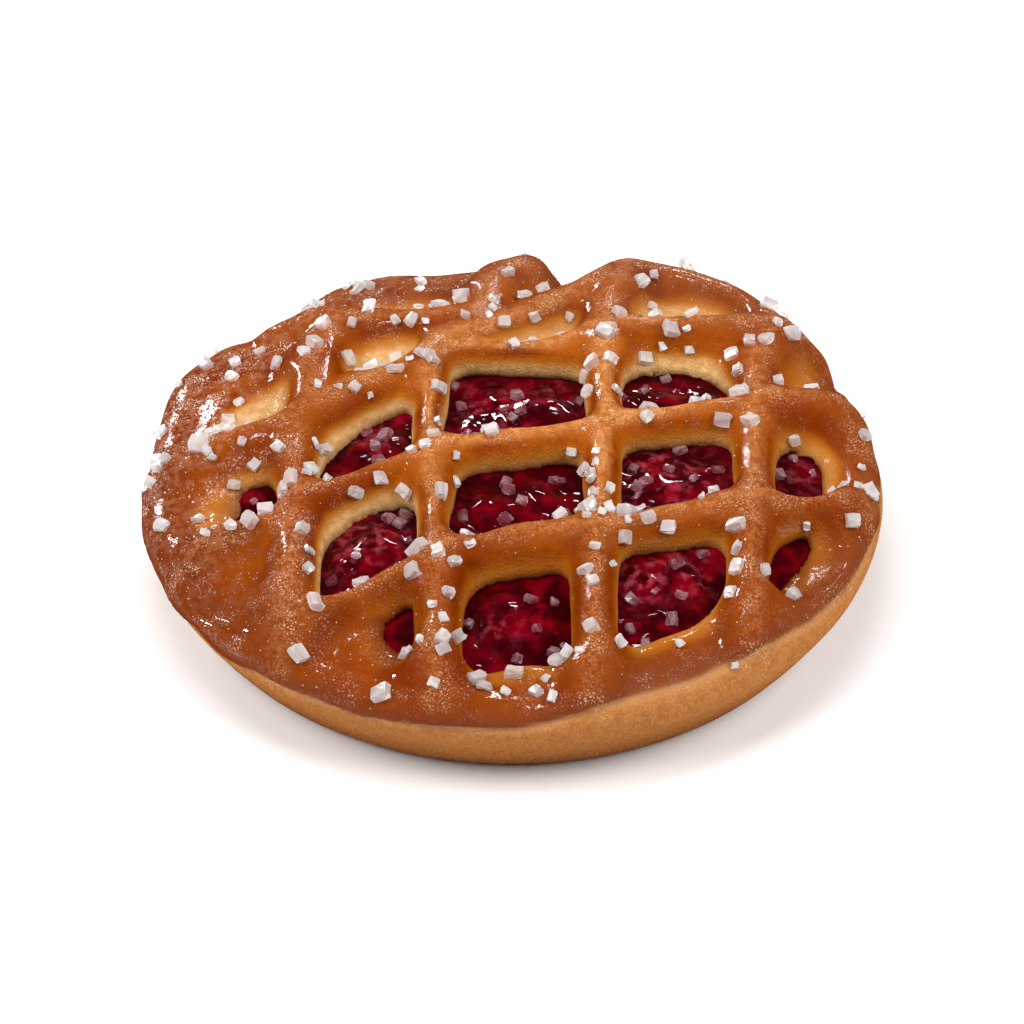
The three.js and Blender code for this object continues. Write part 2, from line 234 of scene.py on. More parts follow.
def dough_depth(x, y, z):
    """How far a point lies inside the closed dome and case, before the lattice is cut; negative outside."""
    rim = read(rim_map, x, y)
    reach, edge, crown = lid_edge_and_crown(x, y, rim)
    rise = np.maximum(z - edge, 0) / crown
    slope = np.sqrt((DOME_POWER * reach ** (DOME_POWER - 1) / rim) ** 2 + (2 * rise / crown) ** 2)
    dome = (reach**DOME_POWER + rise**2 - 1) / np.maximum(slope, 0.03)
    up = np.clip(z / edge, 0, 1)
    wall = np.interp(up, *zip(*WALL_RADII))
    wall = wall + (rim - LID_RADIUS) * step_between(0.05, 1, up)
    below = 0.85 * (np.hypot(x, y) - wall)
    return -np.where(z > edge, dome, below)


def cavity(x, y, z):
    """Positive in the space that the filling takes up."""
    wall = np.interp(z, [p[1] for p in POT_RADII], [p[0] for p in POT_RADII])
    return np.minimum(np.minimum(0.8 * (wall - np.hypot(x, y)), z - FLOOR_THICKNESS),
                      read(top_map, x, y) - JELLY_DEPTH - JELLY_GAP - z)


def crust_field(x, y, z):
    """Negative inside the crust."""
    depth = dough_depth(x, y, z)
    reach = np.hypot(x, y) / read(rim_map, x, y)
    seam = read(seam_map, x, y)
    on_lid = step_between(seam - 0.4, seam + 1.2, z)
    near_rim = step_between(0.55, 0.85, reach)
    crest = np.exp(-((read(crest_map, x, y) / CREST_REACH) ** 2))
    ridge = crest * (0.3 + 1.2 * near_rim * step_between(1.04, 0.88, reach)) - 0.3 * near_rim
    web = WEB_DEPTH * step_between(2.6, 6.5, read(crest_map, x, y)) * step_between(1.0, 0.86, reach)
    sunk = read(hollow_map, x, y)
    sunk = sunk + web * (1 - sunk / DEEPEST_SAG)
    near_edge = step_between(0.8, 0.95, reach)
    lip = LIP * near_edge * on_lid - GROOVE * near_edge * np.exp(-(((z - seam) / GROOVE_REACH) ** 2))
    outer = -depth - ridge * on_lid - lip + sunk * on_lid
    outer = outer - TOP_RIPPLE * read(ripple, x, y) * on_lid
    well = WELL_DEPTH - SHELF * step_between(44.6, 45.8, np.hypot(x, y))
    cut = np.minimum(-read(opening_map, x, y), well - read(top_map, x, y) + z)
    u, v = np.maximum(outer + STRIP_ROUNDING, 0), np.maximum(cut + STRIP_ROUNDING, 0)
    shell = np.minimum(np.maximum(outer, cut), -STRIP_ROUNDING) + np.hypot(u, v)
    shell = np.maximum(shell, cavity(x, y, z))
    u, v = np.maximum(shell + FOOT_ROUNDING, 0), np.maximum(-z + FOOT_ROUNDING, 0)
    return np.minimum(np.maximum(shell, -z), -FOOT_ROUNDING) + np.hypot(u, v)


def fill_pinches(values):
    """Fills the grid points where the surface would touch itself along an edge."""
    for _ in range(6):
        inside = values < 0
        for a, b in ((0, 1), (0, 2), (1, 2)):
            squares = []
            for i, j in ((0, 0), (1, 0), (0, 1), (1, 1)):
                part = [slice(None)] * 3
                part[a] = slice(i, values.shape[a] - 1 + i)
                part[b] = slice(j, values.shape[b] - 1 + j)
                squares.append(tuple(part))
            near, beside, above, far = [inside[part] for part in squares]
            pinched = (near == far) & (beside == above) & (near != beside)
            values[squares[1]][pinched & near] = -0.02
            values[squares[0]][pinched & ~near] = -0.02


def surface_net(values, origin, step):
    """Points and four-sided faces of the surface where a grid of values turns from negative to positive."""
    inside = values < 0
    size = np.array(values.shape) - 1
    count = np.zeros(size, np.int8)
    corners = [(i, j, k) for i in (0, 1) for j in (0, 1) for k in (0, 1)]
    for i, j, k in corners:
        count += inside[i:size[0] + i, j:size[1] + j, k:size[2] + k]
    mixed = (count > 0) & (count < 8)
    cells = np.argwhere(mixed)
    number = np.full(mixed.shape, -1)
    number[mixed] = np.arange(len(cells))
    total, hits = np.zeros((len(cells), 3)), np.zeros(len(cells))
    for axis in range(3):
        unit = np.eye(3, dtype=int)[axis]
        for side in corners:
            if side[axis]:
                continue
            start = cells + side
            end = start + unit
            a, b = values[tuple(start.T)], values[tuple(end.T)]
            crossing = (a < 0) != (b < 0)
            share = np.where(crossing, a / np.where(crossing, a - b, 1), 0)
            total += np.where(crossing[:, None], start + share[:, None] * unit, 0)
            hits += crossing
    points = np.array(origin) + step * total / hits[:, None]
    faces = []
    for axis in range(3):
        u, v = [a for a in range(3) if a != axis]
        low = np.take(inside, range(size[axis]), axis)
        high = np.take(inside, range(1, size[axis] + 1), axis)
        edges = np.argwhere(low != high)
        within = (edges[:, u] > 0) & (edges[:, v] > 0) & (edges[:, u] < size[u]) & (edges[:, v] < size[v])
        edges = edges[within]
        around = []
        for du, dv in ((1, 1), (0, 1), (0, 0), (1, 0)):
            cell = edges.copy()
            cell[:, u] -= du
            cell[:, v] -= dv
            around.append(number[tuple(cell.T)])
        quads = np.stack(around, 1)
        outward = low[tuple(edges.T)] == (axis != 1)
        quads[~outward] = quads[~outward][:, ::-1]
        faces.append(quads)
    return points, np.vstack(faces)


def settle(field, points, rounds, reach):
    """Moves points onto the surface where the field is zero."""
    nudge = 0.05
    for _ in range(rounds):
        here = field(*points.T)
        slope = np.stack([(field(*(points + d).T) - here) / nudge for d in nudge * np.eye(3)], 1)
        move = -here[:, None] * slope / np.maximum((slope**2).sum(1), 0.05)[:, None]
        length = np.linalg.norm(move, axis=1, keepdims=True)
        points = points + move * np.minimum(1, reach / np.maximum(length, 1e-9))
    return points


def mesh_piece(name, points, faces):
    """A smooth mesh object from points in millimetres."""
    mesh = bpy.data.meshes.new(name)
    mesh.from_pydata((np.asarray(points) * 0.001).tolist(), [], [list(map(int, face)) for face in faces])
    mesh.polygons.foreach_set("use_smooth", [True] * len(mesh.polygons))
    piece = bpy.data.objects.new(name, mesh)
    bpy.context.scene.collection.objects.link(piece)
    return piece


def paint(piece, name, red, green, blue):
    """Three values a point, kept on the mesh for its material."""
    layer = piece.data.attributes.new(name, "FLOAT_COLOR", "POINT")
    values = np.stack([red, green, blue, np.ones_like(red)], 1).astype(np.float32)
    layer.data.foreach_set("color", values.ravel())


CRUST_STEP = 0.74  # between the points of the grid that the crust's surface is drawn from
grid_x = np.arange(-59, 59.01, CRUST_STEP)
grid_z = np.arange(-1.1, 28.2, CRUST_STEP)
gx, gy = np.meshgrid(grid_x, grid_x, indexing="ij")
values = np.stack([crust_field(gx, gy, np.full_like(gx, z)) for z in grid_z], 2)
fill_pinches(values)
points, faces = surface_net(values, (grid_x[0], grid_x[0], grid_z[0]), CRUST_STEP)
points = settle(crust_field, points, 2, 0.3)
points[:, 2] = np.maximum(points[:, 2], 0)
crust = mesh_piece("crust_baked", points, faces)

x, y, z = points.T
depth = dough_depth(x, y, z)
reach = np.hypot(x, y) / read(rim_map, x, y)
bearing = np.degrees(np.arctan2(y, x)) % 360
seam = read(seam_map, x, y)
aside = read(opening_map, x, y)
below_top = read(top_map, x, y) - z
on_lid = step_between(seam - 0.3, seam + 0.3, z)
# Pale unwashed sides in the openings; the paleness given per opening also holds painted shade on far walls.
in_opening = read(opening_pale_and_shade_map, x, y) * step_between(4.6, 2.4, aside) * step_between(1.0, 4.4, below_top)
pale = np.maximum(in_opening, read(pale_map, x, y) * on_lid * step_between(0.3, 1.8, below_top))
topmost = step_between(1.4, 0.5, below_top - 1.2 * (reach > 0.8))
crest = np.exp(-((read(crest_map, x, y) / 1.9) ** 2)) * (1 - pale) * topmost

# The rim is scorched most at the left, and its front dried as dull as the crests.
scorch = step_between(0.8, 0.97, reach) * np.maximum(np.exp(-(((bearing - 190) / 42) ** 2)), 0.25) * on_lid
dry_rim = step_between(0.82, 0.97, reach) * np.exp(-((((bearing + 130) % 360 - 180) / 85) ** 2)) * on_lid
crest = np.maximum(crest, 0.75 * dry_rim * (1 - pale))
paint(crust, "Bake", pale, crest, scorch)

# The wall below the seam, the pale line along it and the dull band above it.
line = np.exp(-(((z - seam) / 0.38) ** 2)) * step_between(0.8, 0.95, reach)
band = step_between(3.4, 0.6, z - seam) * on_lid * step_between(0.8, 0.95, reach)
paint(crust, "Zone", 1 - on_lid, line, band)

# Jelly stains the strips' feet, and painted shade darkens them further where the walls meet the jelly; the
# deepest hollows beside an opening get the same colour as painted shade.
stain_and_shade = 0.6 * step_between(4.7, 5.6, depth) * step_between(1.5, 0.2, aside)
deep_hollow_shade = step_between(2.9, 3.4, read(hollow_map, x, y)) * step_between(4.6, 0.8, aside)
stain_and_shade = np.maximum(stain_and_shade, deep_hollow_shade * step_between(1.5, 3.0, below_top))
outward = step_between(0.15, 0.8, np.hypot(x - 8, y - 4 + 0.25 * (y < 0) * y) / 54)
paint(crust, "Stain_shade_height_outward", stain_and_shade, step_between(0, 12, z), outward)


def linear(colour):
    """An sRGB hex colour as linear red, green, blue and alpha."""
    parts = [int(colour[i:i + 2], 16) / 255 for i in (1, 3, 5)]
    return [c / 12.92 if c <= 0.04045 else ((c + 0.055) / 1.055) ** 2.4 for c in parts] + [1.0]


def add(tree, kind, inputs=None, output=None, **settings):
    """Adds a node with its settings; an input is given a value, or linked where it is given a socket.

    Returns the node, or its output where one is named.
    """
    made = tree.nodes.new(kind)
    for key, value in settings.items():
        setattr(made, key, value)
    for key, value in (inputs or {}).items():
        if isinstance(value, bpy.types.NodeSocket):
            tree.links.new(value, made.inputs[key])
        else:
            made.inputs[key].default_value = value
    return made if output is None else made.outputs[output]


def new_material(name):
    material = bpy.data.materials.new(name)
    material.use_nodes = True
    material.node_tree.nodes.clear()
    return material, material.node_tree


# Egg-washed yeast dough. The eye sees a sugar-brown glaze that pools darker and glossier in the dips,
# dull tan crests where it baked off, cream dough on the strips' sides, and a floury matte wall.
# A mix is given its share (0) and two colours (6, 7). A map range is given a value (0), the range that
# it is read over (1, 2) and what that becomes (3, 4), from 0 and to 1 where nothing is given.
COLOURS = {"data_type": "RGBA"}  # settings that many nodes share
SOFTLY = {"interpolation_type": "SMOOTHSTEP"}
TIMES = {"operation": "MULTIPLY"}
dough, tree = new_material("egg_washed_yeast_dough")
where = add(tree, "ShaderNodeTexCoord", None, "Object")
bake = add(tree, "ShaderNodeAttribute", None, "Color", attribute_name="Bake")
bake = add(tree, "ShaderNodeSeparateColor", {0: bake}).outputs
zone = add(tree, "ShaderNodeAttribute", None, "Color", attribute_name="Zone")
zone = add(tree, "ShaderNodeSeparateColor", {0: zone}).outputs
stain_shade_height_outward = add(tree, "ShaderNodeAttribute", None, "Color", attribute_name="Stain_shade_height_outward")
stain_shade_height_outward = add(tree, "ShaderNodeSeparateColor", {0: stain_shade_height_outward}).outputs
pale, crest, scorch = bake
below_seam, seam_line, band = zone
stain_and_shade, wall_height, outward = stain_shade_height_outward
patches = add(tree, "ShaderNodeTexNoise", {"Vector": where, "Scale": 120.0, "Detail": 3.0}, 0)  # 8 mm
mottle = add(tree, "ShaderNodeTexNoise", {  # 1.4 mm
    "Vector": where, "Scale": 700.0, "Detail": 4.0, "Roughness": 0.6}, 0)
grain = add(tree, "ShaderNodeTexNoise", {  # 0.4 mm
    "Vector": where, "Scale": 2600.0, "Detail": 2.0, "Roughness": 0.7}, 0)

# The glaze, which is darker towards the rim.
share = add(tree, "ShaderNodeMapRange", {0: patches, 1: 0.35, 2: 0.65}, 0, **SOFTLY)
glaze = add(tree, "ShaderNodeMix", {0: share, 6: linear("#843002"), 7: linear("#aa540a")}, 2, **COLOURS)
uneven = add(tree, "ShaderNodeMapRange", {0: mottle, 1: 0.35, 2: 0.65}, 0, **SOFTLY)
share = add(tree, "ShaderNodeMath", {0: uneven, 1: 0.35}, 0, **TIMES)
glaze = add(tree, "ShaderNodeMix", {0: share, 6: glaze, 7: linear("#662200")}, 2, **COLOURS)
share = add(tree, "ShaderNodeMath", {0: outward, 1: 0.5}, 0, **TIMES)
glaze = add(tree, "ShaderNodeMix", {0: share, 6: glaze, 7: linear("#702800")}, 2, **COLOURS)

# The strips' crests, stippled with tan.
inner = add(tree, "ShaderNodeMix", {0: uneven, 6: linear("#b0642a"), 7: linear("#c88446")}, 2, **COLOURS)
outer = add(tree, "ShaderNodeMix", {0: uneven, 6: linear("#803812"), 7: linear("#985026")}, 2, **COLOURS)
crests = add(tree, "ShaderNodeMix", {0: outward, 6: inner, 7: outer}, 2, **COLOURS)
stipple = add(tree, "ShaderNodeMapRange", {0: grain, 1: 0.48, 2: 0.62, 4: 0.28}, 0, **SOFTLY)
crests = add(tree, "ShaderNodeMix", {0: stipple, 6: crests, 7: linear("#d69c64")}, 2, **COLOURS)
share = add(tree, "ShaderNodeMapRange", {0: mottle, 1: 0.2, 2: 0.6, 3: 0.55, 4: 0.95}, 0, **SOFTLY)
tan = add(tree, "ShaderNodeMath", {0: crest, 1: share}, 0, **TIMES)
top = add(tree, "ShaderNodeMix", {0: tan, 6: glaze, 7: crests}, 2, **COLOURS)
share = add(tree, "ShaderNodeMapRange", {0: patches, 1: 0.3, 2: 0.7, 3: 0.35, 4: 0.9}, 0, **SOFTLY)
share = add(tree, "ShaderNodeMath", {0: scorch, 1: share}, 0, **TIMES)
top = add(tree, "ShaderNodeMix", {0: share, 6: top, 7: linear("#662812")}, 2, **COLOURS)

# Down the strips' sides it turns from orange over gold to cream.
share = add(tree, "ShaderNodeMapRange", {0: pale, 1: 0.0, 2: 0.5}, 0, **SOFTLY)
top = add(tree, "ShaderNodeMix", {0: share, 6: top, 7: linear("#ac6418")}, 2, **COLOURS)
share = add(tree, "ShaderNodeMapRange", {0: mottle, 1: 0.3, 2: 0.7}, 0, **SOFTLY)
side = add(tree, "ShaderNodeMix", {0: share, 6: linear("#ba8a52"), 7: linear("#d4ac74")}, 2, **COLOURS)
share = add(tree, "ShaderNodeMapRange", {0: pale, 1: 0.3, 2: 0.95}, 0, **SOFTLY)
top = add(tree, "ShaderNodeMix", {0: share, 6: top, 7: side}, 2, **COLOURS)

# A dull band above the seam, and the dry wall with its pale line below it.
share = add(tree, "ShaderNodeMapRange", {0: mottle, 1: 0.2, 2: 0.6, 3: 0.5, 4: 0.85}, 0, **SOFTLY)
share = add(tree, "ShaderNodeMath", {0: band, 1: share}, 0, **TIMES)
top = add(tree, "ShaderNodeMix", {0: share, 6: top, 7: linear("#743820")}, 2, **COLOURS)
wall = add(tree, "ShaderNodeMix", {0: wall_height, 6: linear("#824a24"), 7: linear("#b0703c")}, 2, **COLOURS)
share = add(tree, "ShaderNodeMapRange", {0: mottle, 1: 0.35, 2: 0.65, 4: 0.4}, 0, **SOFTLY)
wall = add(tree, "ShaderNodeMix", {0: share, 6: wall, 7: linear("#8a4e24")}, 2, **COLOURS)
share = add(tree, "ShaderNodeMapRange", {0: grain, 1: 0.45, 2: 0.65, 4: 0.5}, 0, **SOFTLY)
wall = add(tree, "ShaderNodeMix", {0: share, 6: wall, 7: linear("#c08a52")}, 2, **COLOURS)
skin = add(tree, "ShaderNodeMix", {0: below_seam, 6: top, 7: wall}, 2, **COLOURS)
share = add(tree, "ShaderNodeMath", {0: seam_line, 1: 0.45}, 0, **TIMES)
skin = add(tree, "ShaderNodeMix", {0: share, 6: skin, 7: linear("#cc9c6a")}, 2, **COLOURS)
# Jelly stain with painted shade at the strips' feet, and painted shade in the deepest hollows beside an
# opening.
share = add(tree, "ShaderNodeMath", {0: stain_and_shade, 1: 0.6}, 0, **TIMES)
skin = add(tree, "ShaderNodeMix", {0: share, 6: skin, 7: linear("#4f0c12")}, 2, **COLOURS)

# Painted sheen: the colour greys towards the rear, where the glaze seen at a grazing angle would mirror a
# pale veil.
_, along, _ = add(tree, "ShaderNodeSeparateXYZ", {0: where}).outputs
share = add(tree, "ShaderNodeMapRange", {0: along, 1: 0.02, 2: 0.05, 4: 0.08}, 0, **SOFTLY)
skin = add(tree, "ShaderNodeMix", {0: share, 6: skin, 7: linear("#8a7468")}, 2, **COLOURS)

# Sugar too fine to be modelled: a pink frosty bloom in patches, partly painted sheen on the rear left, and
# specks in drifts.
bloom_and_sheen = add(tree, "ShaderNodeAttribute", None, "Fac", attribute_name="Bloom_and_sheen")
# The bloom: fine sugar together with painted sheen.
share = add(tree, "ShaderNodeMapRange", {0: mottle, 1: 0.42, 2: 0.62, 4: 0.2}, 0, **SOFTLY)
share = add(tree, "ShaderNodeMath", {0: bloom_and_sheen, 1: share}, 0, **TIMES)
skin = add(tree, "ShaderNodeMix", {0: share, 6: skin, 7: linear("#e0a684")}, 2, **COLOURS)
dusting = add(tree, "ShaderNodeAttribute", None, "Fac", attribute_name="Dust")
specks = add(tree, "ShaderNodeTexNoise", {"Vector": where, "Scale": 3600.0, "Detail": 1.0}, 0)  # 0.3 mm
specks = add(tree, "ShaderNodeMapRange", {0: specks, 1: 0.55, 2: 0.67}, 0, **SOFTLY)
drifts = add(tree, "ShaderNodeTexNoise", {"Vector": where, "Scale": 210.0, "Detail": 2.0}, 0)  # 5 mm
drifts = add(tree, "ShaderNodeMapRange", {0: drifts, 1: 0.44, 2: 0.6, 4: 0.9}, 0, **SOFTLY)
share = add(tree, "ShaderNodeMath", {0: specks, 1: drifts}, 0, **TIMES)
share = add(tree, "ShaderNodeMath", {0: share, 1: dusting}, 0, **TIMES)
skin = add(tree, "ShaderNodeMix", {0: share, 6: skin, 7: linear("#f0e2d4")}, 2, **COLOURS)

# Light flecks along the crests: partly the dried egg wash's crackle, partly painted glints.
share = add(tree, "ShaderNodeMapRange", {0: crest, 1: 0.1, 2: 0.5, 4: 0.42}, 0, **SOFTLY)
share = add(tree, "ShaderNodeMath", {0: share, 1: drifts}, 0, **TIMES)
share = add(tree, "ShaderNodeMath", {0: share, 1: specks}, 0, **TIMES)
skin = add(tree, "ShaderNodeMix", {0: share, 6: skin, 7: linear("#eccca4")}, 2, **COLOURS)

# The egg wash's gloss lies where the dough was brushed. It wore off the crests and goes dull under powder.
washed = add(tree, "ShaderNodeMapRange", {0: tan, 1: 0.0, 2: 0.8, 3: 1.0, 4: 0.15}, 0, **SOFTLY)
share = add(tree, "ShaderNodeMapRange", {0: pale, 1: 0.2, 2: 0.9, 3: 1.0, 4: 0.12}, 0, **SOFTLY)
washed = add(tree, "ShaderNodeMath", {0: washed, 1: share}, 0, **TIMES)
share = add(tree, "ShaderNodeMapRange", {0: below_seam, 1: 0.2, 2: 0.8, 3: 1.0, 4: 0.0}, 0, **SOFTLY)
washed = add(tree, "ShaderNodeMath", {0: washed, 1: share}, 0, **TIMES)
share = add(tree, "ShaderNodeMapRange", {0: band, 1: 0.1, 2: 0.9, 3: 1.0, 4: 0.2}, 0, **SOFTLY)
washed = add(tree, "ShaderNodeMath", {0: washed, 1: share}, 0, **TIMES)
edge_on = add(tree, "ShaderNodeLayerWeight", {"Blend": 0.5}, "Facing")
share = add(tree, "ShaderNodeMapRange", {0: edge_on, 1: 0.32, 2: 0.6, 3: 1.0, 4: 0.015}, 0, **SOFTLY)
washed = add(tree, "ShaderNodeMath", {0: washed, 1: share}, 0, **TIMES)
share = add(tree, "ShaderNodeMapRange", {0: grain, 1: 0.46, 2: 0.56, 3: 0.01, 4: 1.0}, 0, **SOFTLY)
washed = add(tree, "ShaderNodeMath", {0: washed, 1: share}, 0, **TIMES)
share = add(tree, "ShaderNodeMapRange", {0: dusting, 1: 0.2, 2: 0.6, 3: 1.0, 4: 0.1}, 0, **SOFTLY)
washed = add(tree, "ShaderNodeMath", {0: washed, 1: share}, 0, **TIMES)
wash = add(tree, "ShaderNodeBump", {"Height": mottle, "Distance": 0.0004, "Strength": 0.18}, 0)
wash = add(tree, "ShaderNodeBump", {"Height": grain, "Distance": 0.0002, "Strength": 0.06, "Normal": wash}, 0)
pits = add(tree, "ShaderNodeBump", {"Height": grain, "Distance": 0.0003, "Strength": 0.8}, 0)
shader = add(tree, "ShaderNodeBsdfPrincipled", {
    "Base Color": skin, "Roughness": 0.7, "Normal": pits, "IOR": 1.4, "Specular IOR Level": 0.0,
    "Coat Weight": washed, "Coat Roughness": 0.06, "Coat Normal": wash}, "BSDF")
add(tree, "ShaderNodeOutputMaterial", {"Surface": shader})
crust.data.materials.append(dough)
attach(crust, "root")
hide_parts("crust")

# ---- The filling ----
# Whole cherries set in a thickened cherry jelly, poured into the case before the lid went on. It fills the
# case up to the lid's underside, so it shows in the openings with the cherries swelling out of it.
CHERRY_RADIUS = 7.2
CHERRY_RISE = 1.5
CHERRIES = [
    (3, 11, 0.95), (1, -12, 1.0), (24.5, -6, 1.0), (24.5, 15, 0.5), (-19.5, 2.4, 0.65),
    (-20.5, -21, 0.85), (0.5, -35, 0.95), (22.3, -27.5, 0.85),
]
# Where the jelly is drawn cloudy and pink, partly crushed fruit and partly painted sheen: place, reach and
# how much of it there is.
PULP_AND_SHEEN = [
    (-3, 12, 5, 0.6), (6, 15, 4, 0.4), (21, -3, 6, 0.8), (27, -9, 4, 0.5), (18, -27, 4, 0.8),
    (25, -25, 4, 0.5), (-21, -19, 6, 0.6), (-19, 5, 5, 0.4), (42, 0, 4, 0.4), (-2, -37, 3, 0.4),
]
JELLY_RINGS, JELLY_SPOKES = 130, 420
JELLY_RADIUS = 45.9
SCRAP_COUNT = 120
chance = np.random.default_rng(12)
# Scraps of fruit between the cherries: place, radius and rise.
SCRAPS = np.column_stack([
    chance.uniform(-40, 40, SCRAP_COUNT), chance.uniform(-44, 24, SCRAP_COUNT),
    chance.uniform(1.4, 3.6, SCRAP_COUNT), chance.uniform(0.15, 0.7, SCRAP_COUNT)])


def jelly_height(x, y):
    """Height of the jelly, and how far fruit swells out of it."""
    bent_x = x + 0.9 * np.sin(0.45 * y + 1) + 0.5 * np.sin(1.1 * x + 0.7 * y)
    bent_y = y + 0.9 * np.sin(0.5 * x + 2) + 0.5 * np.sin(0.9 * y - 0.8 * x)
    cherry = np.zeros(np.shape(x))
    for cx, cy, size in CHERRIES:
        away = np.hypot(bent_x - cx, (bent_y - cy) / 0.9) / (CHERRY_RADIUS * size)
        cherry = np.maximum(cherry, np.maximum(1 - away**2, 0) ** 0.7 * size)
    scraps = np.zeros(np.shape(x))
    for sx, sy, radius, rise in SCRAPS:
        away = np.hypot((bent_x - sx) / 1.3, bent_y - sy) / radius
        scraps = np.maximum(scraps, rise * np.maximum(1 - away**2, 0) ** 0.8)
    level = lid_height(x, y) - JELLY_DEPTH
    return level + CHERRY_RISE * cherry + scraps, np.maximum(0.8 * cherry, scraps)


# Rings of points from the middle of the top outwards, then down the wall and in over the floor.
angles = np.arange(JELLY_SPOKES) * math.tau / JELLY_SPOKES
JELLY_FLOOR = FLOOR_THICKNESS + 0.1
rings = [(r, None) for r in np.linspace(0, JELLY_RADIUS, JELLY_RINGS + 1)[1:]]
rings += [(45.8, 11.0), (44.3, 7.5), (40.0, JELLY_FLOOR), (20.0, JELLY_FLOOR)]
points, swell = [(0, 0, float(jelly_height(np.zeros(1), np.zeros(1))[0][0]))], [0.0]
for radius, height in rings:
    rx, ry = radius * np.cos(angles), radius * np.sin(angles)
    rz, cherry = jelly_height(rx, ry)
    if height is not None:
        rz, cherry = np.full_like(rx, height), np.zeros_like(rx)
    points += list(zip(rx, ry, rz))
    swell += list(cherry)
points.append((0, 0, JELLY_FLOOR))
swell.append(0.0)
faces = [(0, 1 + k, 1 + (k + 1) % JELLY_SPOKES) for k in range(JELLY_SPOKES)]
for ring in range(len(rings) - 1):
    start = 1 + ring * JELLY_SPOKES
    for k in range(JELLY_SPOKES):
        after = (k + 1) % JELLY_SPOKES
        faces.append((start + k, start + JELLY_SPOKES + k, start + JELLY_SPOKES + after, start + after))
start = 1 + (len(rings) - 1) * JELLY_SPOKES
faces += [(len(points) - 1, start + (k + 1) % JELLY_SPOKES, start + k) for k in range(JELLY_SPOKES)]
filling = mesh_piece("cherries_in_jelly", points, faces)
swell = np.array(swell)
x, y, z = np.array(points, float).T
pulp_and_sheen = np.zeros_like(x)
for px, py, size, amount in PULP_AND_SHEEN:
    pulp_and_sheen = np.maximum(pulp_and_sheen, amount * np.exp(-((np.hypot(x - px, y - py) / size) ** 2)))
paint(filling, "Fruit_and_sheen", np.clip(swell, 0, 1), pulp_and_sheen, np.zeros_like(swell))

# Set cherry jelly. The eye sees nearly black wine red with sharp wet highlights, and redder, cloudier
# fruit where a cherry comes up to the surface.
jelly, tree = new_material("set_cherry_jelly")
where = add(tree, "ShaderNodeTexCoord", None, "Object")
fruit_and_sheen = add(tree, "ShaderNodeAttribute", None, "Color", attribute_name="Fruit_and_sheen")
swell, pulp_and_sheen, _ = add(tree, "ShaderNodeSeparateColor", {0: fruit_and_sheen}).outputs
cloud = add(tree, "ShaderNodeTexNoise", {  # 4 mm
    "Vector": where, "Scale": 260.0, "Detail": 4.0, "Distortion": 0.6}, 0)
fibre = add(tree, "ShaderNodeTexNoise", {"Vector": where, "Scale": 600.0, "Detail": 4.0}, 0)  # 1.7 mm
share = add(tree, "ShaderNodeMapRange", {0: cloud, 1: 0.4, 2: 0.75}, 0, **SOFTLY)
red = add(tree, "ShaderNodeMix", {0: share, 6: linear("#300004"), 7: linear("#6a000d")}, 2, **COLOURS)
share = add(tree, "ShaderNodeMapRange", {0: fibre, 1: 0.4, 2: 0.7}, 0, **SOFTLY)
flesh = add(tree, "ShaderNodeMix", {0: share, 6: linear("#780012"), 7: linear("#980e26")}, 2, **COLOURS)
share = add(tree, "ShaderNodeMapRange", {0: cloud, 1: 0.4, 2: 0.7, 3: 0.05, 4: 0.7}, 0, **SOFTLY)
share = add(tree, "ShaderNodeMath", {0: swell, 1: share}, 0, **TIMES)
red = add(tree, "ShaderNodeMix", {0: share, 6: red, 7: flesh}, 2, **COLOURS)
# Pink cloudy patches: crushed fruit together with painted sheen.
share = add(tree, "ShaderNodeMapRange", {0: fibre, 1: 0.46, 2: 0.7, 3: 0.0, 4: 0.9}, 0, **SOFTLY)
share = add(tree, "ShaderNodeMath", {0: pulp_and_sheen, 1: share}, 0, **TIMES)
red = add(tree, "ShaderNodeMix", {0: share, 6: red, 7: linear("#ac4454")}, 2, **COLOURS)
waves = add(tree, "ShaderNodeTexNoise", {"Vector": where, "Scale": 240.0, "Detail": 1.0}, 0)  # 4 mm
waves = add(tree, "ShaderNodeBump", {"Height": waves, "Distance": 0.0014, "Strength": 0.4}, 0)
shader = add(tree, "ShaderNodeBsdfPrincipled", {
    "Base Color": red, "Roughness": 0.05, "IOR": 1.42, "Specular IOR Level": 0.1, "Normal": waves,
    "Subsurface Weight": 0.15, "Subsurface Radius": (1.0, 0.08, 0.06), "Subsurface Scale": 0.002}, "BSDF")
add(tree, "ShaderNodeOutputMaterial", {"Surface": shader})
filling.data.materials.append(jelly)
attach(filling, "root")
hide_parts("cherry_filling")

# ---- The sugar ----
# Coarse hail sugar scattered by hand over the egg wash before baking, with the fine dust that comes off it.
# The crystals are rough cubes with worn corners that stick where they land, most of them in the dips.
CLUMPS = [  # plan place, reach in millimetres and how thickly the crystals lie
    (24, 0, 2.5, 5.0), (28, 2, 2.5, 4.0), (8, -12.5, 3, 4.0), (13, -16, 4, 2.5), (-8, -41, 2.5, 8.0),
    (17, -16, 4, 2.0), (-18, 31, 7, 1.6), (-12, 24, 3, 3.0), (-40, 8, 7, 0.5), (2, 28, 5, 1.6),
    (22, 33, 8, 1.2), (-3, -21, 3, 1.5), (-29, -5, 3, 1.5), (-36, -13, 3, 2.0), (22, -42, 5, 1.2),
]
SUGAR_WEAR = 0.36  # how far a cube's corners are worn towards a ball
BALL_RADIUS = 0.62  # of that ball, for a cube with sides of 1
CHIPS = 0.35  # the chips out of a crystal, as a share of the largest crystal

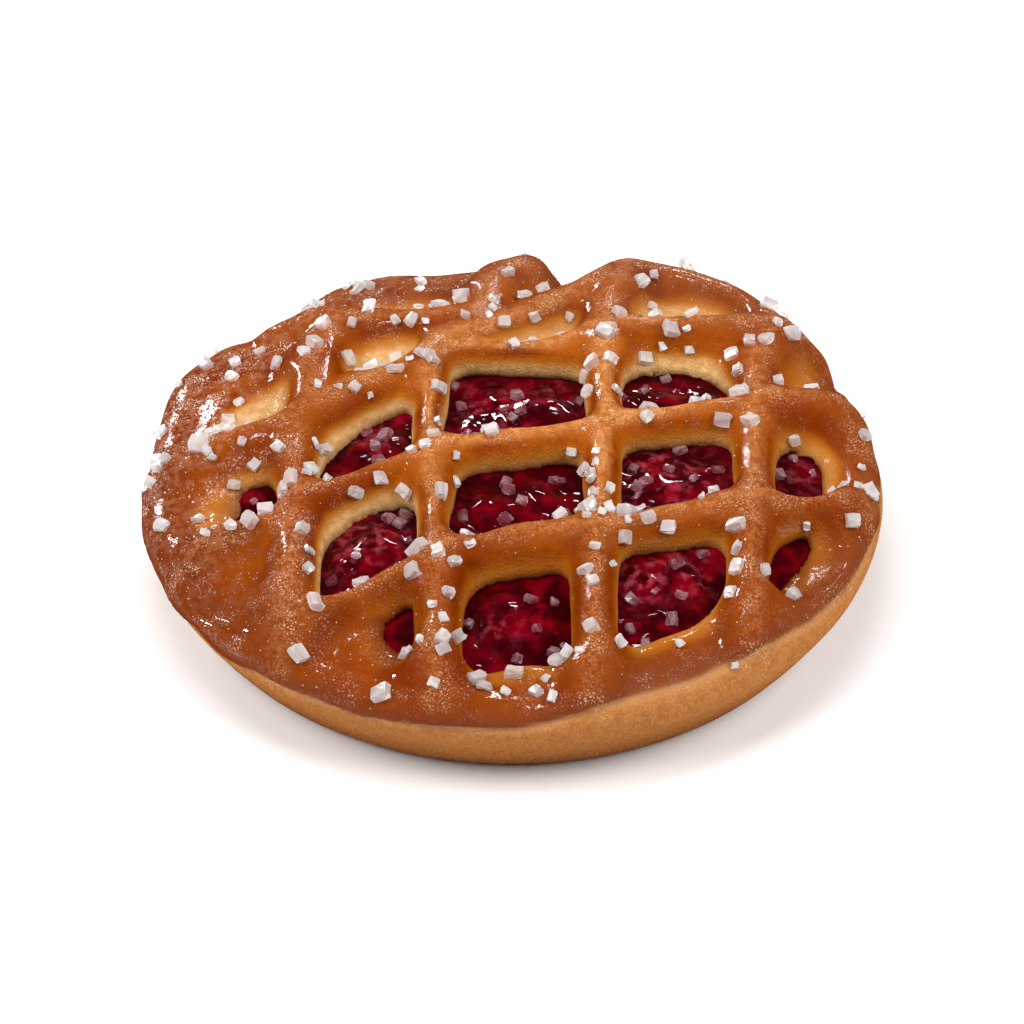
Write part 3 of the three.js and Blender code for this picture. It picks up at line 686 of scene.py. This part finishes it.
# Hail sugar. The eye sees milky white with slightly clear, glinting edges.
hail, tree = new_material("hail_sugar")
where = add(tree, "ShaderNodeTexCoord", None, "Object")
frost = add(tree, "ShaderNodeTexNoise", {"Vector": where, "Scale": 1500.0, "Detail": 2.0}, 0)  # 0.7 mm
white = add(tree, "ShaderNodeMix", {0: frost, 6: linear("#f4f0ee"), 7: linear("#ffffff")}, 2, **COLOURS)
uneven = add(tree, "ShaderNodeBump", {"Height": frost, "Distance": 0.0002, "Strength": 0.5}, 0)
shader = add(tree, "ShaderNodeBsdfPrincipled", {
    "Base Color": white, "Roughness": 0.3, "IOR": 1.45, "Transmission Weight": 0.65, "Normal": uneven,
    "Subsurface Weight": 0.1, "Subsurface Radius": (1.0, 1.0, 1.0), "Subsurface Scale": 0.0006}, "BSDF")
add(tree, "ShaderNodeOutputMaterial", {"Surface": shader})

# Sugar that has drawn up juice. The eye sees pink, half clear crystals.
soaked, tree = new_material("juice_soaked_sugar")
where = add(tree, "ShaderNodeTexCoord", None, "Object")
juice = add(tree, "ShaderNodeTexNoise", {"Vector": where, "Scale": 400.0, "Detail": 2.0}, 0)  # 2.5 mm
juice = add(tree, "ShaderNodeMapRange", {0: juice, 1: 0.35, 2: 0.65}, 0, **SOFTLY)
pink = add(tree, "ShaderNodeMix", {0: juice, 6: linear("#e2b8c0"), 7: linear("#ac4a5c")}, 2, **COLOURS)
shader = add(tree, "ShaderNodeBsdfPrincipled", {
    "Base Color": pink, "Roughness": 0.2, "IOR": 1.45, "Transmission Weight": 0.7}, "BSDF")
add(tree, "ShaderNodeOutputMaterial", {"Surface": shader})


def scatter_sugar(
        name, ground, density_layer, sugar, per_area, spacing, smallest, largest, sunk, seed, corners):
    """Rough sugar cubes strewn on a piece, as one plain mesh. Lengths are in metres."""
    group = bpy.data.node_groups.new(name, "GeometryNodeTree")
    inputs = [
        ("Ground", "NodeSocketGeometry", None),
        ("Crystals per square metre", "NodeSocketFloat", per_area),
        ("Spacing", "NodeSocketFloat", spacing),
        ("Smallest", "NodeSocketFloat", smallest),
        ("Largest", "NodeSocketFloat", largest),
        ("Sunk", "NodeSocketFloat", sunk),
        ("Chipped", "NodeSocketFloat", CHIPS * largest),
        ("Seed", "NodeSocketInt", seed),
        ("Sugar", "NodeSocketMaterial", None),
    ]
    items = {}
    for label, kind, value in inputs:
        items[label] = group.interface.new_socket(label, in_out="INPUT", socket_type=kind)
        if value is not None:
            items[label].default_value = value
    group.interface.new_socket("Crystals", in_out="OUTPUT", socket_type="NodeSocketGeometry")
    given = add(group, "NodeGroupInput").outputs
    seeded = {"Seed": given["Seed"]}
    vectors = {"data_type": "FLOAT_VECTOR"}
    scaled = {"operation": "SCALE"}

    # Where the crystals lie, and how each one is turned and shaped.
    share = add(group, "GeometryNodeInputNamedAttribute", {
        "Name": density_layer}, "Attribute", data_type="FLOAT")
    spread = add(group, "GeometryNodeDistributePointsOnFaces", {
        "Mesh": given["Ground"], "Distance Min": given["Spacing"], "Density Factor": share,
        "Density Max": given["Crystals per square metre"], **seeded}, distribute_method="POISSON").outputs
    turn = add(group, "FunctionNodeRandomValue", {
        0: (0, 0, 0), 1: (0.5, 0.5, math.tau), **seeded}, 0, **vectors)
    turn = add(group, "FunctionNodeEulerToRotation", {"Euler": turn}, 0)
    turn = add(group, "FunctionNodeRotateRotation", {
        "Rotation": spread["Rotation"], "Rotate By": turn}, 0, rotation_space="LOCAL")
    size = add(group, "FunctionNodeRandomValue", {
        2: given["Smallest"], 3: given["Largest"], **seeded}, 1, data_type="FLOAT")
    shape = add(group, "FunctionNodeRandomValue", {
        0: (0.85, 0.75, 0.45), 1: (1.25, 1.1, 0.75), **seeded}, 0, **vectors)
    shape = add(group, "ShaderNodeVectorMath", {0: shape, "Scale": size}, 0, **scaled)
    lift = add(group, "ShaderNodeVectorMath", {0: spread["Normal"], "Scale": given["Sunk"]}, 0, **scaled)
    grains = add(group, "GeometryNodeSetPosition", {"Geometry": spread["Points"], "Offset": lift}, 0)

    # One crystal: a cube with worn corners.
    cube = add(group, "GeometryNodeMeshCube", {
        "Vertices X": corners, "Vertices Y": corners, "Vertices Z": corners}, "Mesh")
    place = add(group, "GeometryNodeInputPosition", None, 0)
    ball = add(group, "ShaderNodeVectorMath", {0: place}, 0, operation="NORMALIZE")
    ball = add(group, "ShaderNodeVectorMath", {0: ball, "Scale": BALL_RADIUS}, 0, **scaled)
    worn = add(group, "ShaderNodeMix", {0: SUGAR_WEAR, 4: place, 5: ball}, 1, data_type="VECTOR")
    cube = add(group, "GeometryNodeSetPosition", {"Geometry": cube, "Position": worn}, 0)

    # All of them, chipped where they lie.
    grains = add(group, "GeometryNodeInstanceOnPoints", {
        "Points": grains, "Instance": cube, "Rotation": turn, "Scale": shape}, 0)
    grains = add(group, "GeometryNodeRealizeInstances", {"Geometry": grains}, 0)
    chips = add(group, "ShaderNodeTexNoise", {"Scale": 900.0, "Detail": 1.0}, "Color")  # 1.1 mm
    chips = add(group, "ShaderNodeVectorMath", {0: chips, 1: (0.5, 0.5, 0.5)}, 0, operation="SUBTRACT")
    chips = add(group, "ShaderNodeVectorMath", {0: chips, "Scale": given["Chipped"]}, 0, **scaled)
    grains = add(group, "GeometryNodeSetPosition", {"Geometry": grains, "Offset": chips}, 0)
    grains = add(group, "GeometryNodeSetMaterial", {"Geometry": grains, "Material": given["Sugar"]}, 0)
    add(group, "NodeGroupOutput", {"Crystals": grains})

    # The crystals are taken off a copy of the piece, so that the piece itself keeps no modifier.
    carrier = ground.copy()
    carrier.data = ground.data.copy()
    bpy.context.scene.collection.objects.link(carrier)
    modifier = carrier.modifiers.new("sugar", "NODES")
    modifier.node_group = group
    modifier[items["Sugar"].identifier] = sugar
    shown = carrier.evaluated_get(bpy.context.evaluated_depsgraph_get())
    mesh = bpy.data.meshes.new_from_object(shown)
    mesh.name = name
    bpy.data.objects.remove(carrier)
    for layer in ("Bake", "Zone", "Stain_shade_height_outward", "Fruit_and_sheen", "Hail", "Dust", "Bloom_and_sheen"):
        if layer in mesh.attributes:
            mesh.attributes.remove(mesh.attributes[layer])
    mesh.polygons.foreach_set("use_smooth", [False] * len(mesh.polygons))
    piece = bpy.data.objects.new(name, mesh)
    bpy.context.scene.collection.objects.link(piece)
    return piece


def sugar_share(piece, name, values):
    """How thickly sugar lies at each point of a piece, from 0 to 1."""
    layer = piece.data.attributes.new(name, "FLOAT", "POINT")
    layer.data.foreach_set("value", np.clip(values, 0, 1).astype(np.float32))


def points_of(piece):
    """A piece's points in millimetres, as x, y and z."""
    place = np.empty(len(piece.data.vertices) * 3)
    piece.data.vertices.foreach_get("co", place)
    return place.reshape(-1, 3).T * 1000


x, y, z = points_of(crust)
facing = np.empty(len(crust.data.vertices) * 3)
crust.data.vertex_normals.foreach_get("vector", facing)
upward = facing.reshape(-1, 3)[:, 2]
level = lid_height(x, y) - z
on_top = step_between(5.2, 3.6, level) * step_between(9, 13, z)

# Crystals lie all over the lid, a little thicker beside the openings and thickest in the clumps.
open_top = step_between(0.25, 0.7, upward) * on_top
clumped = 0.09 + 0.1 * np.exp(-(((read(opening_map, x, y) - 2.2) / 1.6) ** 2))
for cx, cy, size, amount in CLUMPS:
    clumped += 0.12 * amount * np.exp(-((np.hypot(x - cx, y - cy) / size) ** 2))
sugar_share(crust, "Hail", open_top * clumped)

# Dust, and a bloom that is partly painted sheen, lie on the rim at the rear left, the dust in drifts.
bearing = np.degrees(np.arctan2(y, x)) % 360
dusty = np.exp(-(((bearing - 160) / 70) ** 2)) * step_between(0.5, 0.9, np.hypot(x, y) / 54)
drifted = step_between(-0.4, 0.8, np.sin(0.8 * x + 0.5 * y) * np.sin(0.6 * y - 0.7 * x + 2.0))
dusty_top = step_between(0.1, 0.5, upward) * on_top
sugar_share(crust, "Dust", dusty_top * (0.1 + 0.9 * dusty) * (0.3 + 0.7 * drifted))
sugar_share(crust, "Bloom_and_sheen", step_between(0.0, 0.4, upward) * step_between(9, 13, z) * dusty**2)
coarse = scatter_sugar(
    "hail_sugar_on_dough", crust, "Hail", hail, per_area=420000, spacing=0.0012, smallest=0.001,
    largest=0.0024, sunk=0.0004, seed=5, corners=3)
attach(coarse, "root")
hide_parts("crust")
dust = scatter_sugar(
    "sugar_dust", crust, "Dust", hail, per_area=900000, spacing=0.0002, smallest=0.00008,
    largest=0.00024, sunk=0.00002, seed=11, corners=2)
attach(dust, "root")
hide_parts("crust")

# On the jelly they lie only where it shows.
x, y, z = points_of(filling)
shown = step_between(0, -1.2, read(opening_map, x, y)) * (z > 10)
sugar_share(filling, "Hail", shown * 0.5)
pink = scatter_sugar(
    "hail_sugar_on_jelly", filling, "Hail", soaked, per_area=90000, spacing=0.0014, smallest=0.001,
    largest=0.002, sunk=0.0003, seed=3, corners=3)
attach(pink, "root")
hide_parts("cherry_filling")

# ---- Table, lights and camera ----
# A plain white table top in a soft white room. Three soft boxes light the tart. A tall window behind
# it on the left and two small lamps are only mirrored, along the shoulders of the strips and in the jelly.
bpy.ops.mesh.primitive_plane_add(size=8, location=(0, 0, -0.00005))
table = bpy.context.object
table.name = "table_top"
paper, tree = new_material("white_card")
shader = add(tree, "ShaderNodeBsdfPrincipled", {"Base Color": linear("#fbfbfb"), "Roughness": 0.9}, "BSDF")
add(tree, "ShaderNodeOutputMaterial", {"Surface": shader})
table.data.materials.append(paper)

world = bpy.data.worlds.new("soft_white_room")
bpy.context.scene.world = world
world.use_nodes = True
world.node_tree.nodes["Background"].inputs["Color"].default_value = (1, 1, 1, 1)
world.node_tree.nodes["Background"].inputs["Strength"].default_value = 0.09
LAMP_AIM = 0.012  # metres above the table


def lamp(name, towards, distance, width, height, power, mirrored):
    """A lamp facing the tart from a direction, which either lights it or is only mirrored in its gloss."""
    light = bpy.data.lights.new(name, "AREA")
    light.shape = "RECTANGLE"
    light.size, light.size_y, light.energy = width, height, power
    holder = bpy.data.objects.new(name, light)
    bpy.context.scene.collection.objects.link(holder)
    way = np.array(towards, float) / np.linalg.norm(towards)
    holder.location = way * distance + np.array([0, 0, LAMP_AIM])
    yaw, pitch = math.atan2(way[0], -way[1]), math.acos(way[2])
    holder.rotation_euler = (pitch, 0, yaw)
    holder.visible_glossy = mirrored
    holder.visible_diffuse = not mirrored


lamp("soft_box_left", (-0.8, -0.25, 0.8), 0.9, 0.6, 0.5, 7.4, False)
lamp("soft_box_right", (0.8, -0.25, 0.8), 0.9, 0.6, 0.5, 7.4, False)
lamp("soft_box_above", (-0.1, 0.15, 1.0), 0.9, 0.5, 0.5, 3.2, False)
lamp("tall_window_behind_left", (-0.56, 0.75, 0.38), 0.8, 0.11, 0.3, 15.0, True)
lamp("small_lamp_behind", (0.1, 0.8, 0.6), 0.8, 0.12, 0.04, 1.5, True)
lamp("small_lamp_overhead", (-0.15, 0.1, 1.0), 0.8, 0.08, 0.04, 1.0, True)

# The camera stands straight in front, 572 mm from the tart and 37 degrees above the table.
camera = bpy.data.cameras.new("camera")
camera.lens, camera.sensor_width = 135.0, 36.0
viewer = bpy.data.objects.new("camera", camera)
bpy.context.scene.collection.objects.link(viewer)
viewer.location = (0.0, -0.45682, 0.35324)
viewer.rotation_euler = (math.radians(53), 0, 0)
bpy.context.scene.camera = viewer
bpy.context.scene.view_settings.view_transform = "Standard"
